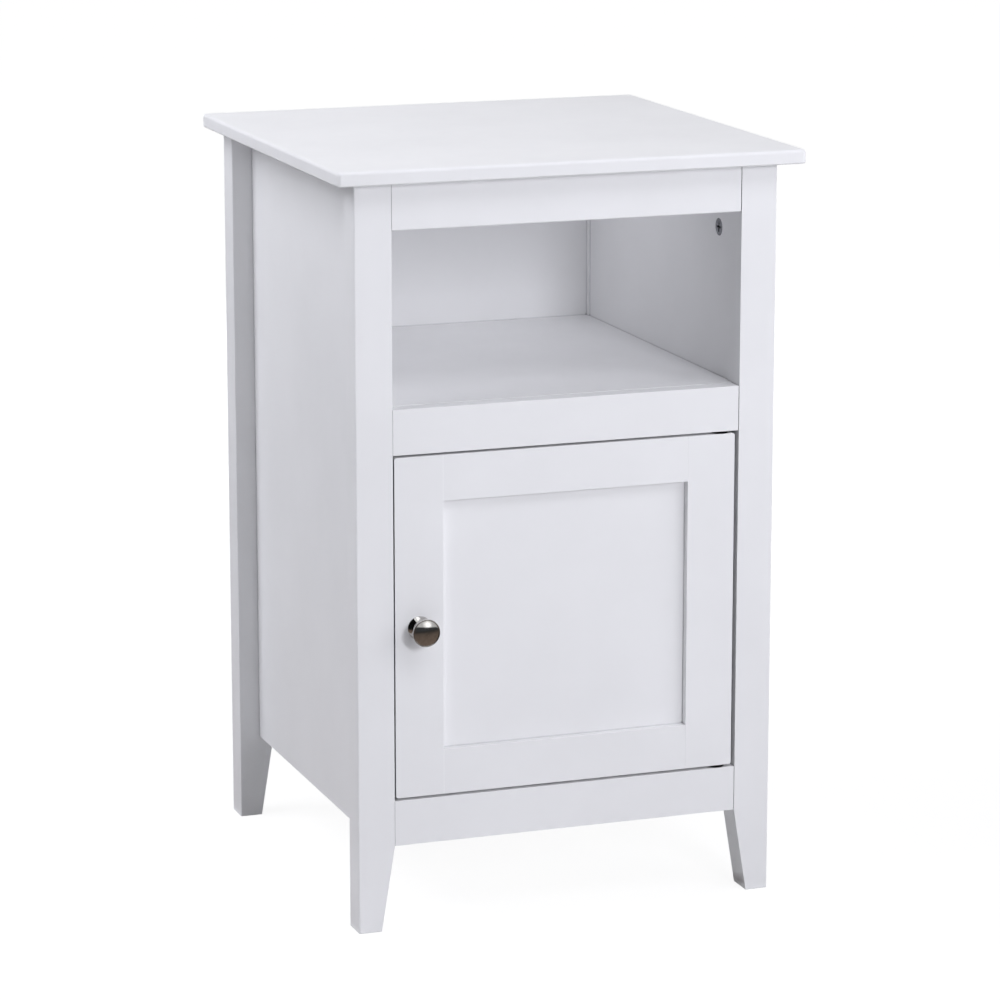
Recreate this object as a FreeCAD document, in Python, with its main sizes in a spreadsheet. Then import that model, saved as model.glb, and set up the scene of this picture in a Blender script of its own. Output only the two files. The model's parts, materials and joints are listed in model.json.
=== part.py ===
import FreeCAD, Part
import os
import re

import Sketcher

# Storage side table: a square top on four legs, an open bay over a cupboard with one
# framed door. The front rails are tenoned into the front legs, a tenon and a cam lock
# hold each side panel to each leg, and dowels hold the top. The level boards and the back
# are housed in grooves. The door turns on a steel pin at each end of its hinge stile.
# Millimetres, +X to the right, +Y to the back, +Z up. The origin is on the floor, under
# the middle of the table's outline, which the knob is part of.

sizes = {
    # overall
    "table_height": 650,
    "top_width": 412,
    "top_depth": 400,
    "top_thickness": 12,
    "top_corner_radius": 4,
    "top_edge_radius": 3,
    "top_edge_chamfer": 1,
    "side_overhang": 19.2,
    "front_overhang": 17.8,
    # legs, tapered on the inner side under the rails
    "leg_width": 32,
    "leg_depth": 26,
    "leg_edge_radius": 1.2,
    "foot_width": 20,
    "floor_clearance": 73.7,
    # side and back panels
    "side_thickness": 12,
    "side_inset": 18.7,
    "side_raise": 1.7,
    "back_thickness": 3,
    "back_inset": 17,
    "back_groove_depth": 3.5,
    # front rails
    "rail_thickness": 15,
    "top_rail_height": 41,
    "shelf_rail_height": 39.3,
    "bottom_rail_height": 40,
    # tenons of the rails and the side panels
    "tenon_length": 10,
    "rail_tenon_thickness": 7,
    "rail_tenon_shoulder": 7,
    "side_tenon_thickness": 6,
    "side_tenon_height": 40,
    "side_tenon_raise": 45,
    # level boards, housed in the side panels
    "shelf_height": 449,
    "board_thickness": 12,
    "board_tongue_thickness": 8,
    "housing_depth": 3.5,
    # door
    "door_thickness": 15,
    "latch_gap": 1.3,
    "hinge_gap": 3.7,
    "door_gap_above": 1.6,
    "door_gap_below": 2.1,
    "stile_width": 42.6,
    "door_rail_height": 39,
    "door_corner_radius": 2,
    "door_panel_recess": 7.2,
    "door_panel_thickness": 5,
    "door_groove_depth": 8,
    # knob
    "knob_projection": 20.9,
    "knob_base_radius": 10.2,
    "knob_base_thickness": 1.6,
    "knob_neck_radius": 9.6,
    "knob_neck_length": 6,
    "knob_head_radius": 11.8,
    "knob_rim_length": 3.6,
    "knob_rim_chamfer": 0.8,
    "knob_bore_depth": 13,
    "knob_screw_radius": 2,
    "knob_screw_head_radius": 4,
    "knob_screw_head_height": 2.2,
    # pivots
    "pivot_inset": 11.3,
    "pin_radius": 2.5,
    "pin_length": 24,
    "pin_seat": 13,
    "bush_radius": 4,
    "bush_floor": 1.5,
    "bush_flange_radius": 6.4,
    # magnetic catch
    "catch_height": 352,
    "catch_width": 12,
    "catch_depth": 12,
    "catch_length": 34,
    "catch_peg_radius": 2,
    "catch_peg_length": 8,
    "catch_peg_pitch": 22,
    "pole_thickness": 1.2,
    "pole_length": 26,
    "pole_height": 8,
    "pole_reach": 1,
    "magnet_thickness": 4,
    "strike_thickness": 1.6,
    "strike_width": 12,
    "strike_length": 36,
    "strike_edge": 1.5,
    "strike_stud_radius": 2,
    "strike_stud_length": 8,
    # cam locks, bolts and dowels
    "cam_end_distance": 61,
    "cam_radius": 7.5,
    "cam_floor": 0.7,
    "cam_distance": 26,
    "cam_drive_width": 2,
    "cam_drive_length": 9,
    "cam_drive_depth": 1.8,
    "bolt_head_radius": 3.2,
    "bolt_head_length": 2.5,
    "bolt_radius": 2.4,
    "bolt_thread_length": 8.5,
    "dowel_radius": 3,
    "dowel_length": 24,
    "dowel_seat": 8,
    "top_dowel_setback": 60,
    # fits
    "pin_clearance": 0.05,
    "bore_clearance": 0.05,
    "bore_end_gap": 0.5,
    "groove_clearance": 0.1,
    "groove_end_gap": 0.6,
    "flange_clearance": 0.3,
    "catch_clearance": 0.3,
}

derived = {
    "underside": "table_height - top_thickness",
    "front_reach": "max(front_overhang; knob_projection)",
    "outline_depth": "top_depth - front_overhang + front_reach",
    "front": "front_reach - outline_depth / 2",
    "rear": "outline_depth / 2",
    "carcass_depth": "rear - front",
    "leg_outer": "top_width / 2 - side_overhang",
    "leg_inner": "leg_outer - leg_width",
    "side_outer": "leg_outer - side_inset",
    "side_inner": "side_outer - side_thickness",
    "side_bottom": "floor_clearance + side_raise",
    "side_height": "underside - side_bottom",
    "side_depth": "carcass_depth - 2 * leg_depth",
    "back_front": "rear - back_inset - back_thickness",
    "rail_back": "front + rail_thickness",
    "top_rail_bottom": "underside - top_rail_height",
    "shelf_rail_bottom": "shelf_height - shelf_rail_height",
    "bottom_rail_top": "floor_clearance + bottom_rail_height",
    "mortise_depth": "tenon_length + groove_end_gap",
    "rail_tenon_front": "(rail_thickness - rail_tenon_thickness) / 2",
    "side_tenon_bottom": "side_bottom + side_tenon_raise",
    "shelf_bottom": "shelf_height - board_thickness",
    "floor_board_bottom": "bottom_rail_top - board_thickness",
    "board_depth": "back_front - rail_back",
    "board_shoulder": "side_inner - groove_clearance",
    "board_reach": "side_inner + housing_depth - groove_end_gap",
    "front_notch": "leg_depth - rail_thickness",
    "rear_notch": "front_notch + side_depth",
    "door_left": "-leg_inner + latch_gap",
    "door_right": "leg_inner - hinge_gap",
    "door_width": "door_right - door_left",
    "door_bottom": "bottom_rail_top + door_gap_below",
    "door_top": "shelf_rail_bottom - door_gap_above",
    "door_height": "door_top - door_bottom",
    "groove_front": "door_panel_recess - groove_clearance",
    "groove_back": "door_panel_recess + door_panel_thickness + groove_clearance",
    "groove_reach": "door_groove_depth - groove_end_gap",
    "door_rail_length": "door_width - 2 * stile_width",
    "knob_across": "door_left + stile_width / 2",
    "knob_up": "door_bottom + door_height / 2",
    "pivot_across": "door_right - pivot_inset",
    "pivot_deep": "front + door_thickness / 2",
    "pin_reach": "pin_length - pin_seat - min(door_gap_above; door_gap_below)",
    "bush_length": "pin_reach + bore_end_gap + bush_floor",
    "strike_left": "door_left + strike_edge",
    "magnet_room": "magnet_thickness / 2 + pole_thickness + groove_clearance",
    "catch_front": "front + door_thickness + strike_thickness + catch_clearance + pole_reach",
    "bolt_depth": "side_thickness / 2",
    "joint_line": "side_inner + bolt_depth",
    "cam_height": "underside - cam_end_distance",
    "bolt_room_radius": "bolt_head_radius + 2 * bore_clearance",
    "cam_depth": "bolt_depth + bolt_room_radius + cam_floor",
    "thread_bore_radius": "bolt_radius + bore_clearance",
    "thread_bore_depth": "bolt_thread_length + bore_end_gap",
    "dowel_bore_radius": "dowel_radius + bore_clearance",
    "dowel_edge_depth": "dowel_length - dowel_seat + bore_end_gap",
    "dowel_face_depth": "dowel_seat + bore_end_gap",
}

doc = FreeCAD.newDocument("StorageSideTable")
sheet = doc.addObject("Spreadsheet::Sheet", "Sizes")
known = set(sizes) | set(derived)
nodes = {}

right = FreeCAD.Vector(1, 0, 0)
back = FreeCAD.Vector(0, 1, 0)
upward = FreeCAD.Vector(0, 0, 1)


def fill_sheet():
    rows = [(alias, str(number)) for alias, number in sizes.items()]
    rows += [(alias, "=" + formula) for alias, formula in derived.items()]
    for row, (alias, content) in enumerate(rows, start=1):
        sheet.set(f"A{row}", alias)
        sheet.set(f"B{row}", content)
        sheet.setAlias(f"B{row}", alias)
    doc.recompute()


def sized(formula):
    # The formula with each size named in it written as a cell of the sheet.
    return re.sub(r"[a-z_]+", lambda word: f"Sizes.{word[0]}" if word[0] in known else word[0], formula)


def value(formula):
    return float(sheet.evalExpression(formula))


def vector(across, deep, up):
    return FreeCAD.Vector(value(across), value(deep), value(up))


def bind(thing, **formulas):
    for path, formula in formulas.items():
        thing.setExpression(path.replace("__", "."), sized(formula))


def place(thing, across="0", deep="0", up="0"):
    bind(thing, Placement__Base__x=across, Placement__Base__y=deep, Placement__Base__z=up)


def turn(thing, rotation):
    thing.Placement = FreeCAD.Placement(FreeCAD.Vector(), rotation)


def keep(thing, label):
    thing.Label = label
    nodes[label] = thing


def new_body(label):
    body = doc.addObject("PartDesign::Body", label)
    body.Label = label
    return body


def origin_plane(body, role):
    return next(item for item in body.Origin.OriginFeatures if item.Role == role)


def sketch_on(body, name, role, offset="0"):
    # A sketch on an origin plane of its body, moved along the plane's normal.
    sketch = body.newObject("Sketcher::SketchObject", name)
    sketch.AttachmentSupport = (origin_plane(body, role), [""])
    sketch.MapMode = "FlatFace"
    bind(sketch, AttachmentOffset__Base__z=offset)
    return sketch


def hold(sketch, kind, places, formula):
    index = sketch.addConstraint(Sketcher.Constraint(kind, *places, value(formula)))
    sketch.setExpression(f"Constraints[{index}]", sized(formula))


def outline(sketch, corners):
    # A closed outline of straight sides through the corners.
    points = [vector(across, up, "0") for across, up in corners]
    for start, end in zip(points, points[1:] + points[:1]):
        sketch.addGeometry(Part.LineSegment(start, end), False)
    for index in range(len(points)):
        following = (index + 1) % len(points)
        sketch.addConstraint(Sketcher.Constraint("Coincident", index, 2, following, 1))
    for index, (across, up) in enumerate(corners):
        hold(sketch, "DistanceX", (-1, 1, index, 1), across)
        hold(sketch, "DistanceY", (-1, 1, index, 1), up)


def rectangle(sketch, low, high):
    outline(sketch, [low, (high[0], low[1]), high, (low[0], high[1])])


def circles(sketch, centres, radius):
    for index, (across, up) in enumerate(centres):
        circle = Part.Circle(vector(across, up, "0"), FreeCAD.Vector(0, 0, 1), value(radius))
        sketch.addGeometry(circle, False)
        hold(sketch, "DistanceX", (-1, 1, index, 3), across)
        hold(sketch, "DistanceY", (-1, 1, index, 3), up)
        hold(sketch, "Radius", (index,), radius)


def pad(body, name, sketch, length, flip=False, both_ways=False):
    feature = body.newObject("PartDesign::Pad", name)
    feature.Profile = sketch
    feature.Reversed = flip
    feature.Midplane = both_ways
    bind(feature, Length=length)
    return feature


def pocket(body, name, sketch, depth, flip=False):
    # A pocket against the sketch plane's normal, or along it when flipped.
    before = body.Tip
    doc.recompute()
    feature = body.newObject("PartDesign::Pocket", name)
    feature.Profile = sketch
    feature.Reversed = flip
    bind(feature, Length=depth)
    doc.recompute()
    if feature.Shape.Volume >= before.Shape.Volume:
        raise RuntimeError(f"{body.Label}: {name} cuts nothing")
    return feature


def drill(body, name, role, offset, centres, radius, depth, flip=False):
    sketch = sketch_on(body, name + "_sketch", role, offset)
    circles(sketch, centres, radius)
    return pocket(body, name, sketch, depth, flip)


def cut_box(body, name, role, offset, low, high, depth, flip=False):
    sketch = sketch_on(body, name + "_sketch", role, offset)
    rectangle(sketch, low, high)
    return pocket(body, name, sketch, depth, flip)


def chosen_edges(body, is_chosen):
    doc.recompute()
    edges = enumerate(body.Tip.Shape.Edges, start=1)
    return (body.Tip, [f"Edge{index}" for index, edge in edges if is_chosen(edge)])


def round_edges(body, name, is_chosen, radius):
    edges = chosen_edges(body, is_chosen)
    fillet = body.newObject("PartDesign::Fillet", name)
    fillet.Base = edges
    bind(fillet, Radius=radius)


def chamfer_edges(body, name, is_chosen, width):
    edges = chosen_edges(body, is_chosen)
    chamfer = body.newObject("PartDesign::Chamfer", name)
    chamfer.Base = edges
    bind(chamfer, Size=width)


def runs_along(edge, axis):
    if edge.Curve.TypeId != "Part::GeomLine":
        return False
    return abs(abs(edge.tangentAt(edge.FirstParameter).dot(axis)) - 1) < 1e-6


def at_height(edge, height):
    return max(abs(vertex.Z - height) for vertex in edge.Vertexes) < 1e-4


# Places that more than one piece is cut or drilled for. Heights are above the floor and
# depths are behind the front face of the rails and legs.
rails = {
    "top_front_rail": ("top_rail_bottom", "top_rail_height"),
    "shelf_front_rail": ("shelf_rail_bottom", "shelf_rail_height"),
    "bottom_front_rail": ("floor_clearance", "bottom_rail_height"),
}
boards = {
    "shelf_board": "shelf_bottom",
    "floor_board": "floor_board_bottom",
}
top_dowel_depths = ("top_dowel_setback", "carcass_depth - top_dowel_setback")
catch_peg_steps = ("-catch_peg_pitch / 2", "catch_peg_pitch / 2")


def top_panel():
    # Rounded corners, a soft upper edge, a chamfered lower one, and blind dowel bores.
    body = new_body("top_panel")
    sketch = sketch_on(body, "top_outline", "XY_Plane")
    rectangle(sketch, ("-top_width / 2", "0"), ("top_width / 2", "top_depth"))
    pad(body, "top_board", sketch, "top_thickness")
    round_edges(body, "top_corners", lambda edge: runs_along(edge, upward), "top_corner_radius")
    is_upper = lambda edge: at_height(edge, value("top_thickness"))
    round_edges(body, "top_upper_edges", is_upper, "top_edge_radius")
    chamfer_edges(body, "top_lower_edges", lambda edge: at_height(edge, 0), "top_edge_chamfer")
    start = "top_depth - carcass_depth"
    dowels = [
        (f"{side} * joint_line", f"{start} + {depth}")
        for side in (-1, 1)
        for depth in top_dowel_depths
    ]
    drill(body, "top_dowels", "XY_Plane", "0", dowels, "dowel_bore_radius", "dowel_face_depth", True)
    place(body, deep="rear - top_depth", up="underside")
    keep(body, "top_panel")


def leg(label, inward, at_front):
    # Measured from the leg's outer face: inward is 1 on the left and -1 on the right.
    body = new_body(label)
    sketch = sketch_on(body, label + "_outline", "XZ_Plane")
    corners = [
        ("0", "0"),
        (f"{inward} * foot_width", "0"),
        (f"{inward} * leg_width", "floor_clearance"),
        (f"{inward} * leg_width", "underside"),
        ("0", "underside"),
    ]
    outline(sketch, corners)
    pad(body, label + "_length", sketch, "leg_depth", flip=True)
    is_outer_arris = lambda edge: runs_along(edge, upward) and abs(edge.Vertexes[0].X) < 1e-6
    round_edges(body, label + "_arrises", is_outer_arris, "leg_edge_radius")
    join_leg_to_side(body, label, inward, at_front)
    inner_face = (f"{inward} * leg_width", inward < 0)
    if at_front:
        mortise_leg_for_rails(body, label, inner_face)
    else:
        groove_leg_for_back(body, label, inner_face)
    if at_front and inward > 0:
        depth = "catch_front - front + catch_depth / 2"
        pegs = [(depth, f"catch_height + {step}") for step in catch_peg_steps]
        bores = (pegs, "catch_peg_radius + bore_clearance", "catch_peg_length + bore_end_gap")
        drill(body, "catch_bores", "YZ_Plane", inner_face[0], *bores)
    place(body, f"{-inward} * leg_outer", "front" if at_front else "rear - leg_depth")
    keep(body, label)


def join_leg_to_side(body, label, inward, at_front):
    # A bolt's thread above and a mortise below, in the leg's face towards the side panel.
    across = f"{inward} * (leg_outer - joint_line)"
    face = ("XZ_Plane", "-leg_depth" if at_front else "0")
    bolt = ([(across, "cam_height")], "thread_bore_radius", "thread_bore_depth", at_front)
    drill(body, label + "_bolt", *face, *bolt)
    half = "(side_tenon_thickness / 2 + groove_clearance)"
    low = (f"{across} - {half}", "side_tenon_bottom - groove_clearance")
    high = (f"{across} + {half}", "side_tenon_bottom + side_tenon_height + groove_clearance")
    cut_box(body, label + "_side_mortise", *face, low, high, "mortise_depth", at_front)


def mortise_leg_for_rails(body, label, inner_face):
    offset, flip = inner_face
    for rail, (bottom, height) in rails.items():
        low = (
            "rail_tenon_front - groove_clearance",
            f"{bottom} + rail_tenon_shoulder - groove_clearance",
        )
        high = (
            "rail_tenon_front + rail_tenon_thickness + groove_clearance",
            f"{bottom} + {height} - rail_tenon_shoulder + groove_clearance",
        )
        cut_box(body, f"{label}_{rail}_mortise", "YZ_Plane", offset, low, high, "mortise_depth", flip)


def groove_leg_for_back(body, label, inner_face):
    offset, flip = inner_face
    panel_front = "leg_depth - back_inset - back_thickness"
    low = (f"{panel_front} - groove_clearance", "side_bottom - groove_end_gap")
    high = (f"{panel_front} + back_thickness + groove_clearance", "underside")
    cut_box(body, label + "_groove", "YZ_Plane", offset, low, high, "back_groove_depth", flip)


def side_panel_left():
    # Measured from the panel's outer face, its front edge and its lower edge.
    body = new_body("side_panel_left")
    sketch = sketch_on(body, "side_outline", "YZ_Plane")
    rectangle(sketch, ("0", "0"), ("side_depth", "side_height"))
    pad(body, "side_board", sketch, "side_thickness")
    tenons = sketch_on(body, "side_tenon_outline", "YZ_Plane", "(side_thickness - side_tenon_thickness) / 2")
    low = ("-tenon_length", "side_tenon_raise")
    high = ("side_depth + tenon_length", "side_tenon_raise + side_tenon_height")
    rectangle(tenons, low, high)
    pad(body, "side_tenons", tenons, "side_tenon_thickness")
    drill_side_edges(body)
    inner_face = ("YZ_Plane", "side_thickness")
    cam_depths = ("cam_distance", "side_depth - cam_distance")
    cams = [(depth, "cam_height - side_bottom") for depth in cam_depths]
    bores = (cams, "cam_radius + bore_clearance", "cam_depth + bore_clearance")
    drill(body, "cam_bores", *inner_face, *bores)
    for label, bottom in boards.items():
        low = ("0", f"{bottom} - groove_clearance - side_bottom")
        high = ("side_depth", f"{bottom} + board_tongue_thickness + groove_clearance - side_bottom")
        cut_box(body, label + "_housing", *inner_face, low, high, "housing_depth")
    place(body, "-side_outer", "front + leg_depth", "side_bottom")
    keep(body, "side_panel_left")


def drill_side_edges(body):
    # In the middle of the panel's thickness: a bolt from each leg and the top's dowels.
    across = "side_thickness - bolt_depth"
    bolt = ([(across, "cam_height - side_bottom")], "bolt_room_radius", "cam_distance")
    drill(body, "front_edge_bolt", "XZ_Plane", "0", *bolt)
    drill(body, "rear_edge_bolt", "XZ_Plane", "-side_depth", *bolt, True)
    dowels = [(across, f"{depth} - leg_depth") for depth in top_dowel_depths]
    upper_edge = ("XY_Plane", "side_height")
    drill(body, "upper_edge_dowels", *upper_edge, dowels, "dowel_bore_radius", "dowel_edge_depth")


def side_panel_right():
    twin = doc.addObject("Part::Mirroring", "side_panel_right")
    twin.Source = nodes["side_panel_left"]
    twin.Normal = right
    keep(twin, "side_panel_right")


def front_rail(label):
    # Measured from the table's middle, the rail's front face and its lower edge.
    bottom, height = rails[label]
    body = new_body(label)
    section = sketch_on(body, label + "_section", "YZ_Plane")
    rectangle(section, ("0", "0"), ("rail_thickness", height))
    pad(body, label + "_length", section, "2 * leg_inner", both_ways=True)
    tenons = sketch_on(body, label + "_tenon_section", "YZ_Plane")
    low = ("rail_tenon_front", "rail_tenon_shoulder")
    high = ("rail_tenon_front + rail_tenon_thickness", f"{height} - rail_tenon_shoulder")
    rectangle(tenons, low, high)
    pad(body, label + "_tenons", tenons, "2 * (leg_inner + tenon_length)", both_ways=True)
    pin = ([("pivot_across", "door_thickness / 2")], "pin_radius + bore_clearance", "pin_seat + bore_end_gap")
    if label == "shelf_front_rail":
        drill(body, "upper_pin_seat", "XY_Plane", "0", *pin, True)
    if label == "bottom_front_rail":
        drill(body, "lower_pin_seat", "XY_Plane", height, *pin)
    place(body, "0", "front", bottom)
    keep(body, label)


def level_board(label):
    # Between the rails and the back, notched round the legs. A tongue flush with the
    # underside enters the panel at each end, so the upper face stops at the panels.
    body = new_body(label)
    sketch = sketch_on(body, label + "_outline", "XY_Plane")
    half = [
        ("leg_inner", "0"),
        ("leg_inner", "front_notch"),
        ("board_shoulder", "front_notch"),
        ("board_shoulder", "rear_notch"),
        ("leg_inner", "rear_notch"),
        ("leg_inner", "board_depth"),
    ]
    outline(sketch, half + [(f"-{across}", deep) for across, deep in reversed(half)])
    pad(body, label + "_board", sketch, "board_thickness")
    tongues = sketch_on(body, label + "_tongue_outline", "XY_Plane")
    rectangle(tongues, ("-board_reach", "front_notch"), ("board_reach", "rear_notch"))
    pad(body, label + "_tongues", tongues, "board_tongue_thickness")
    place(body, "0", "rail_back", boards[label])
    keep(body, label)


def back_panel():
    # Slid down the rear legs' grooves before the top goes on.
    panel = doc.addObject("Part::Box", "back_panel")
    reach = "leg_inner + back_groove_depth - groove_end_gap"
    bind(panel, Length=f"2 * ({reach})", Width="back_thickness", Height="side_height - groove_end_gap")
    place(panel, f"-({reach})", "back_front", "side_bottom")
    keep(panel, "back_panel")


def door_stile(label, inward):
    # Measured from the door's outer edge; the groove holds the panel and the rails.
    body = new_body(label)
    sketch = sketch_on(body, label + "_section", "XY_Plane")
    edge = f"{inward} * stile_width"
    groove = f"{inward} * (stile_width - door_groove_depth)"
    corners = [
        ("0", "0"),
        (edge, "0"),
        (edge, "groove_front"),
        (groove, "groove_front"),
        (groove, "groove_back"),
        (edge, "groove_back"),
        (edge, "door_thickness"),
        ("0", "door_thickness"),
    ]
    outline(sketch, corners)
    pad(body, label + "_length", sketch, "door_height")
    is_corner = lambda edge: runs_along(edge, back) and abs(edge.Vertexes[0].X) < 1e-6
    round_edges(body, label + "_corners", is_corner, "door_corner_radius")
    if inward > 0:
        drill_latch_stile(body)
        place(body, "door_left", "front", "door_bottom")
    else:
        drill_hinge_stile(body)
        place(body, "door_right", "front", "door_bottom")
    keep(body, label)


def drill_latch_stile(body):
    knob = [("knob_across - door_left", "knob_up - door_bottom")]
    drill(body, "knob_hole", "XZ_Plane", "0", knob, "knob_screw_radius + bore_clearance", "door_thickness")
    stud = [("strike_edge + strike_width / 2", "catch_height - door_bottom")]
    bore = (stud, "strike_stud_radius + bore_clearance", "strike_stud_length + bore_end_gap", True)
    drill(body, "strike_hole", "XZ_Plane", "-door_thickness", *bore)


def drill_hinge_stile(body):
    pivot = [("-pivot_inset", "door_thickness / 2")]
    bore = (pivot, "bush_radius + bore_clearance", "bush_length + bore_end_gap")
    drill(body, "upper_bush_bore", "XY_Plane", "door_height", *bore)
    drill(body, "lower_bush_bore", "XY_Plane", "0", *bore, True)


def door_rail(label, at_top):
    # A grooved rail whose tongues enter the stiles' grooves.
    body = new_body(label)
    sketch = sketch_on(body, label + "_section", "YZ_Plane")
    heights = ("0", "door_groove_depth", "door_rail_height")
    if not at_top:
        heights = ("door_rail_height", "door_rail_height - door_groove_depth", "0")
    inner, groove, outer = heights
    corners = [
        ("0", inner),
        ("groove_front", inner),
        ("groove_front", groove),
        ("groove_back", groove),
        ("groove_back", inner),
        ("door_thickness", inner),
        ("door_thickness", outer),
        ("0", outer),
    ]
    outline(sketch, corners)
    pad(body, label + "_length", sketch, "door_rail_length", both_ways=True)
    tongues = sketch_on(body, label + "_tongue_section", "YZ_Plane")
    low = ("groove_front + groove_clearance", groove)
    high = ("groove_back - groove_clearance", outer)
    rectangle(tongues, low, high)
    pad(body, label + "_tongues", tongues, "door_rail_length + 2 * groove_reach", both_ways=True)
    bottom = "door_top - door_rail_height" if at_top else "door_bottom"
    place(body, "(door_left + door_right) / 2", "front", bottom)
    keep(body, label)


def door_panel():
    panel = doc.addObject("Part::Box", "door_panel")
    across = "door_rail_length + 2 * groove_reach"
    up = "door_height - 2 * door_rail_height + 2 * groove_reach"
    bind(panel, Length=across, Width="door_panel_thickness", Height=up)
    left = "door_left + stile_width - groove_reach"
    place(panel, left, "front + door_panel_recess", "door_bottom + door_rail_height - groove_reach")
    keep(panel, "door_panel")


def turned(label, profile):
    # A body of revolution about Y, from a half profile of radius against length.
    body = new_body(label)
    sketch = sketch_on(body, label + "_profile", "XY_Plane")
    outline(sketch, profile)
    revolution = body.newObject("PartDesign::Revolution", label + "_turning")
    revolution.Profile = sketch
    revolution.ReferenceAxis = (sketch, ["V_Axis"])
    revolution.Angle = 360
    return body


def knob():
    # A stout turned knob: a flat face with a chamfered rim, a head that narrows to the
    # neck, and a base ring against the door.
    bore = "knob_screw_radius + bore_clearance"
    profile = [
        ("0", "-knob_projection"),
        ("knob_head_radius - knob_rim_chamfer", "-knob_projection"),
        ("knob_head_radius", "-knob_projection + knob_rim_chamfer"),
        ("knob_head_radius", "-knob_projection + knob_rim_length"),
        ("knob_neck_radius", "-knob_neck_length"),
        ("knob_neck_radius", "-knob_base_thickness"),
        ("knob_base_radius", "-knob_base_thickness"),
        ("knob_base_radius", "0"),
        (bore, "0"),
        (bore, "-knob_bore_depth"),
        ("0", "-knob_bore_depth"),
    ]
    body = turned("knob", profile)
    place(body, "knob_across", "front", "knob_up")
    keep(body, "knob")


def knob_screw():
    # Pan-headed, from the back of the door: its head's seat is at the origin.
    reach = "door_thickness + knob_bore_depth - bore_end_gap"
    profile = [
        ("0", "-knob_screw_head_height"),
        ("knob_screw_head_radius", "-knob_screw_head_height"),
        ("knob_screw_head_radius", "0"),
        ("knob_screw_radius", "0"),
        ("knob_screw_radius", reach),
        ("0", reach),
    ]
    body = turned("knob_screw", profile)
    turn(body, FreeCAD.Rotation(upward, 180))
    place(body, "knob_across", "front + door_thickness", "knob_up")
    keep(body, "knob_screw")


def compound(label, pieces):
    # One node of pieces that are equal or nearly so.
    node = doc.addObject("Part::Compound", label)
    node.Links = pieces
    keep(node, label)


def pivots():
    # A bush pressed into each end of the door's right-hand stile turns on a pin that
    # stands in the rail.
    ends = {
        "upper": ("door_top", "door_gap_above", "shelf_rail_bottom + pin_seat - pin_length"),
        "lower": ("door_bottom", "door_gap_below", "bottom_rail_top - pin_seat"),
    }
    pins = []
    bushes = []
    for name, (door_end, gap, pin_foot) in ends.items():
        pin = doc.addObject("Part::Cylinder", f"{name}_pin")
        bind(pin, Radius="pin_radius", Height="pin_length")
        place(pin, "pivot_across", "pivot_deep", pin_foot)
        pins.append(pin)
        bush = flanged_bush(name, gap)
        if name == "lower":
            turn(bush, FreeCAD.Rotation(right, 180))
        place(bush, "pivot_across", "pivot_deep", door_end)
        bushes.append(bush)
    compound("pivot_pins", pins)
    compound("pivot_bushes", bushes)


def flanged_bush(name, gap):
    # The flange fills the door's gap above the origin and the closed sleeve goes down.
    body = new_body(f"{name}_bush")
    flange_thickness = f"({gap} - flange_clearance)"
    flange = sketch_on(body, f"{name}_flange_section", "XY_Plane")
    circles(flange, [("0", "0")], "bush_flange_radius")
    pad(body, f"{name}_flange", flange, flange_thickness)
    sleeve = sketch_on(body, f"{name}_sleeve_section", "XY_Plane")
    circles(sleeve, [("0", "0")], "bush_radius")
    pad(body, f"{name}_sleeve", sleeve, "bush_length", flip=True)
    depth = f"{flange_thickness} + bush_length - bush_floor"
    bore = ([("0", "0")], "pin_radius + pin_clearance", depth)
    drill(body, f"{name}_pin_bore", "XY_Plane", flange_thickness, *bore)
    return body


def catch_housing():
    # A block with two pegs in the left leg, open at the front for the magnet.
    body = new_body("catch_housing")
    block = sketch_on(body, "catch_outline", "XZ_Plane")
    rectangle(block, ("0", "-catch_length / 2"), ("catch_width", "catch_length / 2"))
    pad(body, "catch_block", block, "catch_depth", flip=True)
    pegs = sketch_on(body, "catch_peg_sections", "YZ_Plane")
    circles(pegs, [("catch_depth / 2", step) for step in catch_peg_steps], "catch_peg_radius")
    pad(body, "catch_pegs", pegs, "catch_peg_length", flip=True)
    middle = "catch_width / 2"
    low = (f"{middle} - magnet_room", "-pole_length / 2 - groove_clearance")
    high = (f"{middle} + magnet_room", "pole_length / 2 + groove_clearance")
    cut_box(body, "magnet_pocket", "XZ_Plane", "0", low, high, "pole_height + groove_clearance")
    place(body, "-leg_inner", "catch_front", "catch_height")
    keep(body, "catch_housing")


def catch_magnet():
    # A block magnet between two steel pole plates that stand out towards the strike.
    magnet = doc.addObject("Part::Box", "catch_magnet")
    bind(magnet, Length="magnet_thickness", Width="pole_height - groove_end_gap", Height="pole_length")
    middle = "-leg_inner + catch_width / 2"
    foot = "catch_height - pole_length / 2"
    place(magnet, f"{middle} - magnet_thickness / 2", "catch_front + groove_end_gap", foot)
    keep(magnet, "catch_magnet")
    plates = []
    starts = {"left": "- magnet_thickness / 2 - pole_thickness", "right": "+ magnet_thickness / 2"}
    for side, start in starts.items():
        plate = doc.addObject("Part::Box", f"{side}_pole")
        bind(plate, Length="pole_thickness", Width="pole_height + pole_reach", Height="pole_length")
        place(plate, f"{middle} {start}", "catch_front - pole_reach", foot)
        plates.append(plate)
    compound("catch_poles", plates)


def strike_plate():
    # A steel leaf on the back of the door, held by its stud in the stile.
    body = new_body("strike_plate")
    leaf = sketch_on(body, "strike_outline", "XZ_Plane")
    low = ("-strike_width / 2", "-strike_length / 2")
    rectangle(leaf, low, ("strike_width / 2", "strike_length / 2"))
    pad(body, "strike_leaf", leaf, "strike_thickness", flip=True)
    stud = sketch_on(body, "strike_stud_section", "XZ_Plane")
    circles(stud, [("0", "0")], "strike_stud_radius")
    pad(body, "strike_stud", stud, "strike_stud_length")
    place(body, "strike_left + strike_width / 2", "front + door_thickness", "catch_height")
    keep(body, "strike_plate")


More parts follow.
